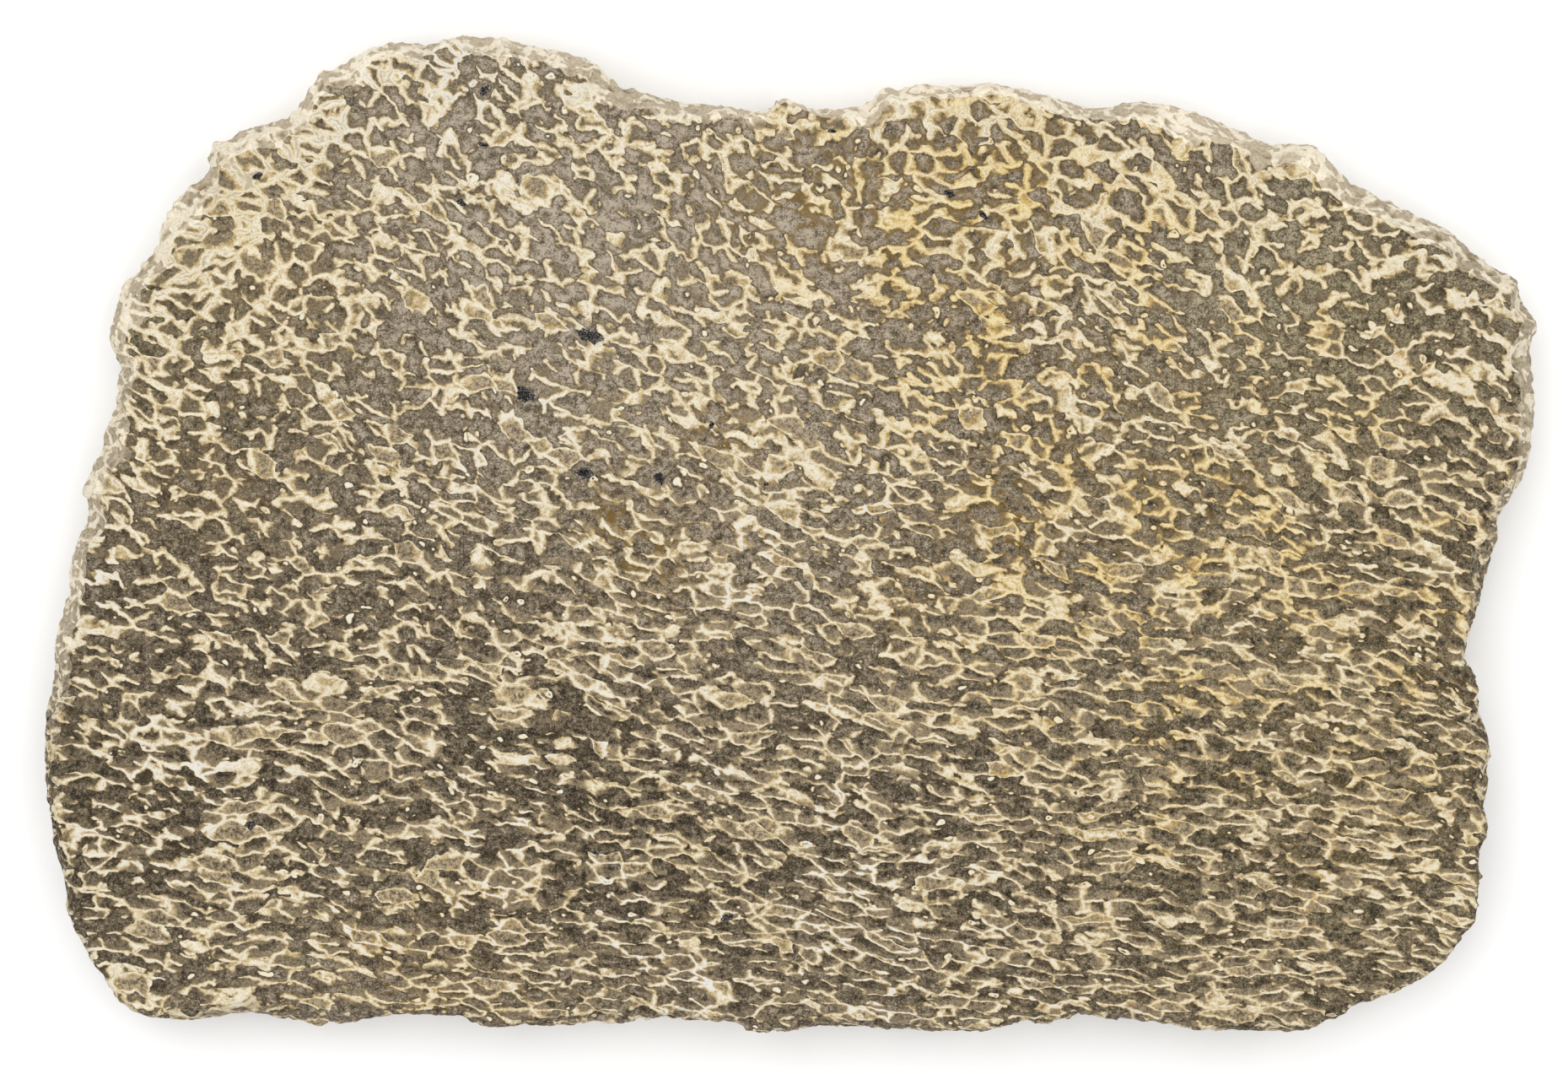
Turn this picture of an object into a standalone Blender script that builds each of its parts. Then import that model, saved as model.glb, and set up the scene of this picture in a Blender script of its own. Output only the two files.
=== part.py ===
"""Fossil dinosaur bone slab: one sawn slice of spongy bone turned to stone, lying flat.

Units are metres, +Z is up and the slab lies on its base cut.  The origin is the middle of
the slab's box, on the base.  +X runs along the slab's length and +Y towards its crested
edge.  The slice is one natural piece, so it is one object: two flat saw cuts joined by the
broken, weathered rim of the bone, which bulges, steps in and out and is pitted where the
spongy cells open on it.
"""
import math

import bmesh
import bpy
import numpy as np
from mathutils import Vector, geometry, noise

MM = 0.001

LENGTH = 124.0 * MM
WIDTH = 83.0 * MM
THICKNESS = 8.0 * MM

# The rim seen from above, in millimetres, clockwise.  Each point is a knee, a crest or a
# notch of the broken edge, and a smooth closed curve runs through them all.
LEFT_EDGE = (
    (-60.7, -26.0), (-61.2, -23.6), (-61.8, -20.0), (-61.9, -17.2), (-61.6, -14.2),
    (-61.0, -12.6), (-60.6, -9.2), (-60.0, -5.3), (-59.8, -2.6), (-59.0, -0.2),
    (-58.2, 1.5), (-58.7, 3.4), (-58.3, 4.4), (-57.0, 6.7), (-56.8, 8.3),
    (-56.3, 10.5), (-56.1, 14.0), (-56.45, 15.7), (-56.1, 17.1), (-55.7, 18.6),
)
UPPER_LEFT_STEPS = (
    (-55.5, 20.2), (-54.4, 21.5), (-53.4, 22.9), (-52.3, 23.8), (-52.1, 24.9),
    (-51.4, 26.2), (-49.8, 28.2), (-48.3, 29.0), (-48.0, 29.9), (-48.2, 31.2),
    (-47.8, 32.2), (-45.9, 32.7), (-45.2, 33.3), (-43.5, 33.7), (-41.1, 34.6),
    (-40.2, 35.3), (-39.7, 36.4), (-39.1, 37.0), (-38.7, 37.9), (-37.7, 38.2),
    (-36.0, 39.3), (-34.6, 40.2),
)
TOP_CREST = (
    (-31.8, 40.7), (-30.4, 40.5), (-28.5, 41.2), (-27.0, 41.5), (-25.6, 41.1),
    (-24.0, 41.2), (-21.9, 40.5), (-19.2, 40.0), (-16.2, 39.0), (-14.9, 37.7),
    (-14.1, 37.0), (-9.0, 35.7), (-3.9, 35.3), (-2.6, 35.0), (-1.7, 35.1),
    (-0.8, 36.2), (0.6, 35.8), (2.2, 35.2), (4.8, 35.1), (6.9, 35.7),
    (7.3, 36.4), (8.3, 36.9), (9.1, 36.7), (10.9, 37.3), (12.3, 37.1),
    (16.6, 37.3), (22.5, 36.2), (25.0, 35.5), (26.8, 35.4), (28.0, 35.7),
)
UPPER_RIGHT_SLOPE = (
    (31.0, 35.3), (38.0, 33.3), (38.9, 32.5), (40.3, 32.1), (42.6, 32.0),
    (43.6, 31.5), (45.0, 30.1), (47.0, 28.75), (49.5, 27.7), (51.0, 26.7),
    (54.7, 24.9), (57.1, 22.9), (59.1, 21.5), (60.2, 21.2), (60.7, 20.4),
)
RIGHT_EDGE = (
    (60.8, 19.0), (61.6, 18.0), (62.0, 17.0), (61.5, 15.7), (61.35, 14.6),
    (61.7, 11.5), (61.7, 9.0), (61.5, 7.7), (61.6, 6.8), (61.2, 5.0),
    (59.2, 2.1), (58.6, 1.1), (58.7, -0.8), (57.8, -3.7), (56.2, -10.4),
    (56.7, -11.3), (57.35, -12.5), (57.5, -15.2), (58.0, -18.0), (57.5, -19.9),
    (57.8, -21.0), (57.4, -22.4), (57.9, -24.5), (57.2, -26.6), (57.55, -28.8),
    (56.7, -32.2), (55.1, -34.2), (54.1, -35.6), (52.5, -36.8), (48.4, -38.8),
    (46.7, -39.1), (45.2, -40.4),
)
BOTTOM_WAVES = (
    (43.6, -41.1), (41.0, -41.4), (37.0, -41.2), (33.6, -41.5), (31.5, -41.15),
    (28.8, -40.55), (26.0, -40.5), (24.8, -40.2), (21.1, -41.0), (19.6, -40.8),
    (16.3, -41.5), (13.8, -41.2), (12.2, -41.5), (8.0, -41.3), (3.4, -41.0),
    (-2.0, -41.5), (-4.7, -41.1), (-6.5, -40.6), (-11.2, -40.35), (-13.6, -40.75),
    (-19.0, -40.85), (-25.5, -41.05), (-27.7, -40.3), (-34.0, -40.1), (-35.6, -40.5),
    (-38.0, -40.7), (-38.9, -41.0), (-39.8, -40.7), (-42.0, -40.7), (-44.4, -40.05),
    (-49.0, -40.5), (-51.8, -40.4),
)
LOWER_LEFT_CORNER = (
    (-53.8, -39.9), (-55.5, -38.7), (-56.5, -37.0), (-57.5, -36.0), (-58.7, -33.8),
    (-59.6, -31.2), (-59.5, -30.0), (-59.7, -28.3),
)
OUTLINE = (LEFT_EDGE + UPPER_LEFT_STEPS + TOP_CREST + UPPER_RIGHT_SLOPE
           + RIGHT_EDGE + BOTTOM_WAVES + LOWER_LEFT_CORNER)

RIM_STEP = 0.85 * MM        # spacing of the points that the rim is built from
CURVE_POINTS = 16           # points taken on each stretch of the curve before they are spaced
BEND_SPAN = 5.0 * MM        # bumps shorter than this don't turn the way in to the bone

# How far the upper cut's edge stands in from the widest line, by direction round the slab
# (degrees from +X, then millimetres).  The crested and left sides slope out below the cut,
# and the lower side is nearly square.
SHOULDERS = (
    (0, 1.2), (25, 2.1), (45, 1.9), (65, 1.2), (90, 0.9), (115, 1.6), (135, 1.4), (155, 1.9),
    (180, 2.0), (195, 1.4), (215, 0.8), (250, 0.5), (290, 0.5), (320, 0.7), (340, 1.0),
)
BASE_SHARE = 0.75           # the base cut's inset, as a share of the upper cut's
BASE_INSET = 0.5 * MM       # and the least it is
SHOULDER_POWER = 1.7        # how late the rim turns in towards a cut

# Heights of the rim's rings, as shares of the thickness.  The widest line is the middle one.
RINGS = (0.0, 0.05, 0.18, 0.34, 0.5, 0.66, 0.82, 0.95, 1.0)
WIDEST_RING = 0.5
WANDER = 0.45               # how far the widest line wanders up and down, as a share
WANDER_LENGTH = 8.0 * MM
WIDEST_HEIGHTS = (0.24, 0.74)
SAW_WEAR = 0.22 * MM        # the rubbed corner at each cut

LUMP_LENGTH = 4.2 * MM      # broken lumps and hollows of the rim
LUMP_DEPTH = 0.95 * MM
CELL_LENGTH = 3.0 * MM      # the largest bone cells that open on the rim
CELL_DEPTH = 1.05 * MM
CELL_OPENING = 0.44         # an open cell's radius, as a share of the spacing of the cells
QUIET_SPAN = 0.28           # share of the half thickness over which relief fades to the widest line

FOSSIL_BONE = (0.42, 0.35, 0.25, 1.0)
CUT_ROUGHNESS = 0.45


def curve_through(points):
    """A smooth closed curve through the points, as one dense list."""
    count = len(points)
    dense = []
    for index in range(count):
        before, start, end, after = (points[(index + k) % count] for k in (-1, 0, 1, 2))
        reach = (end - start).length / 3
        leave = start + (end - before).normalized() * reach
        arrive = end - (after - start).normalized() * reach
        dense += geometry.interpolate_bezier(start, leave, arrive, end, CURVE_POINTS)[:-1]
    return np.array(dense)


def evenly_spaced(curve, step):
    """Points at equal distances along a closed curve."""
    closed = np.vstack([curve, curve[:1]])
    along = np.concatenate([[0.0], np.cumsum(np.linalg.norm(np.diff(closed, axis=0), axis=1))])
    places = np.arange(round(along[-1] / step)) * along[-1] / round(along[-1] / step)
    return np.column_stack([np.interp(places, along, closed[:, axis]) for axis in (0, 1)])


def fitted(points):
    """The points moved and stretched so that they fill the slab's length and width."""
    low, high = points.min(axis=0), points.max(axis=0)
    return (points - (low + high) / 2) * np.array([LENGTH, WIDTH]) / (high - low)


def rim_outline():
    """The widest line of the rim."""
    knees = [Vector((x * MM, y * MM)) for x, y in OUTLINE]
    return fitted(evenly_spaced(curve_through(knees), RIM_STEP))


def ways_in(outline):
    """At each point of the rim, the direction towards the bone, blind to short bumps."""
    reach = round(BEND_SPAN / RIM_STEP)
    smooth = sum(np.roll(outline, shift, axis=0) for shift in range(-reach, reach + 1))
    along = np.roll(smooth, -1, axis=0) - np.roll(smooth, 1, axis=0)
    along /= np.linalg.norm(along, axis=1, keepdims=True)
    return np.column_stack([along[:, 1], -along[:, 0]])


def shoulder(point):
    """How far in the upper cut's edge stands, in the point's direction."""
    directions, insets = zip(*SHOULDERS)
    bearing = math.degrees(math.atan2(point[1], point[0]))
    return np.interp(bearing, directions, insets, period=360) * MM


def relief(place):
    """Depth of the broken lumps and the open cells at a place on the rim."""
    lump = max(0.0, noise.noise(place / LUMP_LENGTH) + 0.15)
    nearest = noise.voronoi(place / CELL_LENGTH)[0][0]
    cell = max(0.0, 1 - (nearest / CELL_OPENING) ** 2)
    return LUMP_DEPTH * lump + CELL_DEPTH * cell


def rim_point(widest, inward, share):
    """The point of one ring of the rim, over or under a point of the widest line."""
    drift = WIDEST_RING + WANDER * noise.noise(Vector((*widest, 0.0)) / WANDER_LENGTH)
    drift = np.clip(drift, *WIDEST_HEIGHTS)
    if share < WIDEST_RING:
        height = share / WIDEST_RING * drift
        away = 1 - share / WIDEST_RING
        edge = max(BASE_INSET, BASE_SHARE * shoulder(widest))
    else:
        height = 1 - (1 - share) / (1 - WIDEST_RING) * (1 - drift)
        away = (share - WIDEST_RING) / (1 - WIDEST_RING)
        edge = shoulder(widest)
    place = Vector((*widest, height * THICKNESS))
    inset = edge * away ** SHOULDER_POWER + relief(place) * min(1.0, away / QUIET_SPAN)
    if share in (RINGS[0], RINGS[-1]):
        inset += SAW_WEAR
    return place + Vector((*inward, 0.0)) * inset


def slab_mesh():
    """The base cut, extruded ring by ring up the rim to the upper cut."""
    outline = rim_outline()
    inward = ways_in(outline)
    bm = bmesh.new()
    station = bm.verts.layers.int.new("station")
    for index in range(len(outline)):
        bm.verts.new((0, 0, 0))[station] = index
    cut = bm.faces.new(bm.verts)
    for share in RINGS:
        if share > RINGS[0]:
            raised = bmesh.ops.extrude_face_region(bm, geom=[cut, *cut.edges])["geom"]
            cut = next(item for item in raised if isinstance(item, bmesh.types.BMFace))
        for vert in cut.verts:
            index = vert[station]
            vert.co = rim_point(outline[index], inward[index], share)
    bmesh.ops.recalc_face_normals(bm, faces=bm.faces)
    mesh = bpy.data.meshes.new("bone_slab")
    bm.to_mesh(mesh)
    bm.free()
    return mesh


def fossil_bone():
    """Cream spongy bone in grey-brown stone, with the soft gloss of a fine saw cut."""
    material = bpy.data.materials.new("fossil_bone")
    material.use_nodes = True
    surface = material.node_tree.nodes["Principled BSDF"]
    surface.inputs["Base Color"].default_value = FOSSIL_BONE
    surface.inputs["Roughness"].default_value = CUT_ROUGHNESS
    surface.inputs["Metallic"].default_value = 0.0
    return material


for leftover in list(bpy.data.objects):
    bpy.data.objects.remove(leftover, do_unlink=True)

slab = bpy.data.objects.new("bone_slab", slab_mesh())
slab.data.materials.append(fossil_bone())
bpy.context.collection.objects.link(slab)
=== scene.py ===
"""Fossil dinosaur bone slab, dressed: a sawn and polished slice of spongy bone turned to stone.

The slice is one piece.  Its two cut faces are flat and carry the bone's pattern as colour
only, with a few small open vugs; its rim is the broken, weathered outside of the bone.
Pattern sizes and places are in millimetres, in the slab's own frame.
"""
import math

import bmesh
import bpy
import numpy as np
from mathutils import Matrix, Vector, noise


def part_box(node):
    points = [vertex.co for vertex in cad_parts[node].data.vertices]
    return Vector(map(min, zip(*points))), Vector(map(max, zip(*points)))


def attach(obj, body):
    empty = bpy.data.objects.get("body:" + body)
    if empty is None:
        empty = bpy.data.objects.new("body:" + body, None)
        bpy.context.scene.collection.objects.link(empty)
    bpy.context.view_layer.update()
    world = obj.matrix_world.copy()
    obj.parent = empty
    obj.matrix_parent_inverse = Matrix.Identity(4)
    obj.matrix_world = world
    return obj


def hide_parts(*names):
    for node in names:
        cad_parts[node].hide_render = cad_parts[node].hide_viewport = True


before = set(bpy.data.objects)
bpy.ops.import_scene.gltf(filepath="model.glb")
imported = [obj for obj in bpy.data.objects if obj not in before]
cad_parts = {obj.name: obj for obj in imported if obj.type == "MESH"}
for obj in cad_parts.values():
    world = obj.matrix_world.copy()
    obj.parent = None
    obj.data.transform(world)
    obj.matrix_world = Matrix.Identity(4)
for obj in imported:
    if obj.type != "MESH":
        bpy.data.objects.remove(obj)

bl_info = {
    "name": "Fossil Bone Slab",
    "version": (1, 0, 0),
    "blender": (4, 5, 0),
    "location": "3D View > Sidebar > Fossil",
    "description": "Dresses a sawn slab of fossil bone and sets up a plain studio for it",
    "category": "Object",
}

MM = 0.001
MERGE, LEVEL, FLAT = 0.5e-6, 1e-6, 1e-7         # tolerances in m: same point, same height, same cut
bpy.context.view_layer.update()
LOW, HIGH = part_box("bone_slab")

# The way the struts run.  Growth coordinates are (along the struts, across them, up), in mm.
STRUT_SLOPE = 0.31          # fall of the struts towards +X at the middle
FAN = 0.004                 # added fall per millimetre towards +Y
CROWDING = 0.0041           # how much closer the struts stand towards -Y
STRETCH = 0.0025            # how much longer the cells are towards -Y
BENDS = (                   # x, y, radius, turn of the struts towards level
    (50.0, 24.0, 16.0, 0.15), (12.0, 28.0, 15.0, 0.32), (-44.0, 22.0, 12.0, 0.25),
    (0.0, -42.0, 40.0, -0.05), (50.0, -8.0, 20.0, -0.12),
)
SWAY_SIZE, SWAY = 8.0, 1.2              # the slow wandering of the struts
SWAY_PLACES = (                         # where its noise is read for each growth coordinate
    Vector((5.3, 1.7, 2.9)), Vector((-11.4, 8.6, 4.2)), Vector((3.1, -14.8, 9.5)),
)
WANDERS = (                             # the quick ones: size, reach along and across, place
    (1.6, (1.1, 0.75), 5.0),
    (0.7, (0.45, 0.42), 9.0),
)
CELL_RISE = 3.6                         # size of the cells up through the slab
OPENING_SIZE, OPENING_SHIFT = (2.0, 1.0, 3.0), (11.0, 7.0, 3.0)     # where the plates are pierced
OPENING, OPENING_SPAN = 0.455, 0.06     # bone starts past the first and is full past the second
TIP_FALL = 3.0                          # how steeply the bone falls away past a strut's end
CLOSED, CLOSED_MORE = (0.53, 0.78), 0.03            # the most closed plates are thicker by this
DOT_CELL, DOT_SHIFT = (1.2, 0.95, 2.0), (40.0, 31.0, 23.0)          # dots and little rings
DOT_LEAST, DOT_SPREAD, DOT_WALL = -0.30, 0.50, 0.11
JOIN = 0.11                             # how softly dots and plates run together
VEILED_CELLS, VEIL_SPAN, CELL_FILL = 0.905, 0.05, 0.16      # cells past this number show bone inside
BELOW = (0.10, -0.24, -0.60)            # the way to the bone that shows through, in growth mm
FILL_SIZE, FILL_SWAY = 7.0, 0.05        # patches of more and less closed plates
TINT_SIZE, TINT_LEAST, TINT_SWAY = 3.5, 0.6, 2.2            # patches of white and yellow struts

# The stone's own grains: scale per mm, detail, roughness and place of each noise.
COARSE_GRAIN = (3.0, 2.0, 0.6, (0.0, 0.0, 0.0))
FINE_GRAIN = (7.0, 2.0, 0.7, (9.0, 4.0, 1.0))
MOTTLE = (1.1, 2.0, 0.65, (19.0, 4.0, 1.0))
RAGGED_COARSE, RAGGED_MOTTLE = 0.12, 0.25           # how far they move the bone's edge, in mm
RAGGED_BELOW = 0.5                                  # and that of the bone below

# Soft spots of the slice: x, y, radius, strength.
SOFT_LAYERS = {
    "fill": (               # fewer gaps in the plates
        (-52.0, 25.0, 11.0, 0.09), (-42.0, 36.0, 10.0, 0.09), (-22.0, 40.0, 9.0, 0.05),
        (-60.0, 6.0, 8.0, 0.06), (14.0, 36.0, 10.0, 0.05), (56.0, 24.0, 10.0, 0.04),
        (-10.0, -36.0, 16.0, 0.03), (14.0, -34.0, 16.0, 0.02), (36.0, -20.0, 20.0, -0.02),
        (-20.0, 6.0, 14.0, -0.02), (-50.0, -6.0, 14.0, -0.03), (-16.0, -20.0, 13.0, -0.03),
        (44.0, 14.0, 12.0, -0.01), (2.0, 0.0, 10.0, -0.01),
    ),
    "thick": (              # thicker struts, in mm
        (-53.0, 25.0, 9.0, 0.08), (-43.0, 36.0, 9.0, 0.08), (-26.0, 41.0, 7.0, 0.05),
        (14.0, 37.0, 9.0, 0.03), (57.0, 20.0, 9.0, 0.03),
        (-60.0, 0.0, 8.0, 0.05), (0.0, -34.0, 24.0, -0.04), (36.0, -36.0, 20.0, -0.03),
        (-30.0, -36.0, 16.0, -0.02), (24.0, 30.0, 20.0, 0.04), (-10.0, 24.0, 16.0, 0.02),
    ),
    "veil": (               # more bone seen through the filling
        (0.0, -24.0, 26.0, 0.40), (40.0, -24.0, 24.0, 0.55), (-40.0, -22.0, 20.0, 0.40),
        (-10.0, 0.0, 16.0, 0.35), (58.0, 8.0, 12.0, 0.3), (-50.0, 30.0, 14.0, 0.3),
    ),
    "gold": (               # yellower struts
        (20.0, 8.0, 22.0, 0.6), (40.0, -15.0, 24.0, 0.7), (14.0, 28.0, 14.0, 0.6),
        (52.0, 12.0, 12.0, 0.3), (-30.0, -36.0, 12.0, 0.5), (-44.0, 28.0, 8.0, 0.2),
    ),
    "chalk": (              # whiter struts
        (-12.0, -28.0, 16.0, 0.6), (-34.0, -26.0, 14.0, 0.5), (8.0, -37.0, 14.0, 0.5),
        (-58.0, -2.0, 4.0, 1.0), (-24.0, 10.0, 9.0, 0.6), (-30.0, 36.0, 10.0, 0.5),
        (-14.0, 38.0, 6.0, 0.2), (2.0, 2.0, 12.0, 0.4), (2.0, -33.0, 24.0, 0.5),
        (44.0, -34.0, 14.0, 0.4), (-56.0, -22.0, 14.0, 0.4), (56.0, 16.0, 10.0, 0.4),
    ),
    "umber": (              # darker, browner filling
        (-18.0, -18.0, 16.0, 0.35), (-44.0, -12.0, 14.0, 0.25), (-12.0, -29.0, 14.0, 0.30),
        (10.0, -26.0, 14.0, 0.25), (30.0, -30.0, 16.0, 0.20), (56.0, -4.0, 14.0, 0.35),
        (-56.0, -24.0, 16.0, 0.42), (46.0, -30.0, 16.0, 0.22), (8.0, -36.0, 14.0, 0.10),
        (-34.0, -34.0, 12.0, 0.10),
    ),
    "haze": (               # paler filling
        (-28.0, 33.0, 14.0, 0.6), (-4.0, 20.0, 20.0, 0.5), (-24.0, 18.0, 16.0, 0.4),
        (16.0, 34.0, 14.0, 0.3), (-6.0, -2.0, 12.0, 0.2), (30.0, 14.0, 18.0, 0.3),
        (-3.0, 29.0, 12.0, 0.5), (40.0, 24.0, 12.0, 0.4), (-36.0, -41.0, 7.0, 0.4),
        (-14.0, -42.0, 8.0, 0.4), (6.0, -42.0, 8.0, 0.3),
    ),
    "crust_and_painted_top_light": (              # paler, chalkier rim: partly a real crust, partly painted light, with the spots laid along the rim's +Y side as if it were lit there
        (-54.0, 24.0, 14.0, 0.60), (-38.0, 38.0, 12.0, 0.60), (-20.0, 41.0, 12.0, 0.70),
        (0.0, 36.0, 12.0, 0.75), (17.0, 38.0, 12.0, 0.65), (34.0, 34.0, 12.0, 0.70),
        (50.0, 26.0, 12.0, 0.60), (62.0, 10.0, 12.0, 0.50), (-62.0, 5.0, 12.0, 0.55),
        (-62.0, -8.0, 8.0, 0.40),
    ),
    "olive": (              # greener filling
        (46.0, 16.0, 16.0, 0.7), (-50.0, 16.0, 11.0, 0.5), (44.0, -24.0, 22.0, 0.6),
        (-58.0, -24.0, 10.0, 0.3), (-44.0, 32.0, 9.0, 0.3),
    ),
    "amber": (              # iron-stained filling
        (-5.8, 7.8, 3.0, 1.0), (-14.1, 0.2, 3.0, 1.0), (-10.9, -3.2, 3.5, 0.8),
        (16.9, 1.6, 4.0, 0.7), (9.8, -6.8, 4.0, 0.6), (15.0, 28.0, 12.0, 0.7),
        (0.0, 27.0, 7.0, 0.6), (28.0, 4.0, 12.0, 0.4), (44.0, -14.0, 18.0, 0.35),
        (-42.0, 20.0, 8.0, 0.3), (-48.0, 4.0, 6.0, 0.3), (-30.0, -37.0, 6.0, 0.4),
    ),
}

VUGS = (                    # open holes lined with dark crystals: x, y, half length, half width, turn
    (-21.6, 11.1, 1.05, 0.75, -30), (-16.7, 4.7, 0.85, 0.65, 10), (-10.6, 4.3, 0.60, 0.55, 40),
    (-16.2, 15.9, 1.35, 0.60, -22), (-1.9, 3.8, 0.30, 0.22, 0), (-6.4, 8.6, 0.35, 0.25, 60),
    (-25.0, 36.0, 0.55, 0.40, 30), (-24.9, 31.5, 0.45, 0.35, 0), (-26.8, 26.8, 0.50, 0.35, -40),
    (-43.4, 29.0, 0.50, 0.38, 20), (3.5, 32.7, 0.40, 0.30, 0), (13.0, 27.6, 0.60, 0.40, -20),
    (15.8, 25.8, 0.50, 0.35, -60), (-5.0, -31.6, 0.65, 0.35, 10), (-15.8, -26.3, 0.40, 0.25, -15),
    (-44.0, -24.0, 0.60, 0.40, 25),
)
BASE_VUGS = (
    (-30.0, 8.0, 0.8, 0.6, 20), (12.0, -14.0, 1.1, 0.6, -10), (34.0, 10.0, 0.6, 0.4, 50),
    (-8.0, 24.0, 0.7, 0.5, -30), (-44.0, -20.0, 0.6, 0.5, 0),
)
VUG_RINGS = (               # the way down: size as a share of the ring before, share of the depth
    (0.74, 0.0), (0.62, 0.35), (0.45, 0.8), (0.22, 1.0),
)
VUG_SIDES = 16
MOUTH_SWAY, MOUTH_SIZE = 0.5, 0.45 * MM         # how uneven a vug's mouth is
WALL_SWAY, WALL_SIZE = 0.6, 0.3 * MM            # and its walls
CUT_SHARE = 0.7             # a filled cut covers at least this share of the slab's box

# The rim's open cells and grain.
CELL_LIP, CELL_SLOPE = 0.10, 0.30               # where a cell starts to sink, and over how far
PATCH_CELLS, PATCH_LEAST, PATCH_SWAY = 3, 0.65, 2.2         # patches with and without open cells
FINE_GRAINS, FINE_SHARE = 2.3, 0.5              # the finer grain, beside the main one
GRAIN_SINK, GRAIN_OUT = 0.4, 0.05 * MM          # how far the grain sinks on average, rises at most
HOLLOW_CELL, HOLLOW_GRAIN = 0.75, 0.55          # how much each counts as a hollow
EDGE_ZONE = 0.5 * MM                            # nearer a cut, points move ever less up and down

# Where each part of the skin lies in the piece's own map: left, bottom and map widths per mm.
TOP_PATCH = (0.008, 0.336, 1 / 126.5)
BASE_PATCH = (0.008, 0.008, 0.318 / 83.5)
RIM_PATCH = (0.500, 0.012, 0.486)               # left, bottom and the width of a strip
RIM_STRIPS, RIM_STRIP_PITCH, RIM_STRIP_HEIGHT = 4, 0.080, 0.070

# How each grain and soft spot moves the filling's tone, and its fades: from, to, value at each.
MOTTLE_CONTRAST = 1.5
TONE_MOVES = {"Coarse grain": 1.3, "Grain": 1.9, "Umber": -0.5, "Haze": 0.35}
OLIVE_SHARE = 0.7
DARK_SPECKS = (-0.24, -0.14, 0.6, 0.0)          # by grain
BESIDE_BONE = (-0.34, -0.03)                    # by depth, in mm, as below
BESIDE_GRAIN = (-0.35, 0.25, 1.0, 0.6)
STAIN_MOTTLE, STAIN_DEPTH = (0.42, 0.53), (-0.50, -0.10)

# The same for the sawn slice.
VEIL_GRAIN, VEIL_COARSE = 2.2, 1.4              # how mottled the veiled bone is
LIFT_FALL, LIFT = -1.5, 0.35                    # it is paler near the bone's edge
SEEN_DEPTH, SEEN_CLEAR, SEEN_LEAST = (-0.30, 0.10), 0.8, 0.15
VEILED_COARSE, VEILED_DEPTH = (-0.15, 0.1, 0.3, 0.9), (-0.65, -0.10, 0.25, 1.0)
LINE_COARSE, LINE_DEPTH, LINE_START, LINE_TILT, LINE_GRAIN = 0.8, 2.6, 0.26, 0.6, 0.9
LINE_STOPS = (0.05, 0.34, 0.56, 0.74)           # rim, edge, body and heart of a strut
SPECK_COARSE, SPECK_DEPTH = (0.13, 0.21, 0.0, 0.75), (0.05, 0.14)
CHALK_DEPTH = (0.03, 0.12)
CORE_DEPTH = (0.15, 0.23, 0.0, 0.7)             # thick bone shows its spongy core
EDGE_DEPTH, EDGE_VEIL = (-0.04, 0.04), 0.04

# The finish of the cuts and of the rim.
CRYSTAL_GRAIN, CRYSTAL_EDGE, GLINT_GRAIN = 1.6, (0.55, 0.75), (-0.03, 0.12)
CUT_ROUGH, CUT_ROUGH_GRAIN, BONE_ROUGH = 0.40, 0.12, 0.08
CUT_GLOSS, CUT_BUMP, CUT_BUMP_DEPTH = 0.14, 0.15, 0.05 * MM
SOIL_COARSE, SOIL_HOLLOW, CRUST_COARSE = 0.8, (0.30, 1.0), 1.2
RIM_ROUGH, RIM_ROUGH_GRAIN, RIM_BUMP_COARSE = 0.78, 0.2, 0.6
RIM_GLOSS, RIM_BUMP, RIM_BUMP_DEPTH = 0.25, 0.6, 0.12 * MM

# The studio, in metres and degrees.
FLOOR_SIZE, FLOOR_GAP, FLOOR_ROUGH = 3.0, 0.1 * MM, 0.9
LAMP_SIZE, LAMP_REACH = 0.5, 0.7
LAMPS = (                   # name, turn round the slab, rise, share of the lamp's power
    ("key", 120, 60, 1.25), ("fill", -60, 60, 0.8), ("left", 200, 56, 0.85), ("right", 20, 56, 0.85),
)
NEAREST = 1 * MM            # the camera sees nothing nearer than this


def srgb(red, green, blue):
    """A colour given in 0-255 screen values, as linear red, green, blue and alpha."""
    def linear(value):
        value /= 255
        return value / 12.92 if value <= 0.04045 else ((value + 0.055) / 1.055) ** 2.4
    return (linear(red), linear(green), linear(blue), 1.0)


def colour(name, description, red, green, blue):
    return bpy.props.FloatVectorProperty(name=name, description=description, subtype="COLOR",
                                         size=4, min=0.0, max=1.0, default=srgb(red, green, blue))


def length(name, description, value):
    return bpy.props.FloatProperty(name=name, description=description, default=value,
                                   min=0.0, unit="LENGTH", precision=5)


class FossilShape(bpy.types.PropertyGroup):
    """Sizes of the slab's fine relief."""

    rim_cuts: bpy.props.IntProperty(
        name="Rim cuts", description="New lines across each face of the rim", default=3, min=0, max=4)
    cell_size: length("Open cell", "Spacing of the small cells that open on the rim", 1.7 * MM)
    cell_depth: length("Cell depth", "Depth of the small cells on the rim", 0.34 * MM)
    grain_size: length("Grain size", "Spacing of the rim's rough grain", 0.75 * MM)
    grain_depth: length("Grain depth", "Depth of the rim's rough grain", 0.16 * MM)
    cut_grid: length("Cut grid", "Spacing of the points that carry the pattern on the cuts", 1.5 * MM)
    vug_depth: bpy.props.FloatProperty(
        name="Vug depth", description="Depth of an open vug as a share of its half width",
        default=1.3, min=0.0, max=3.0)


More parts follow.
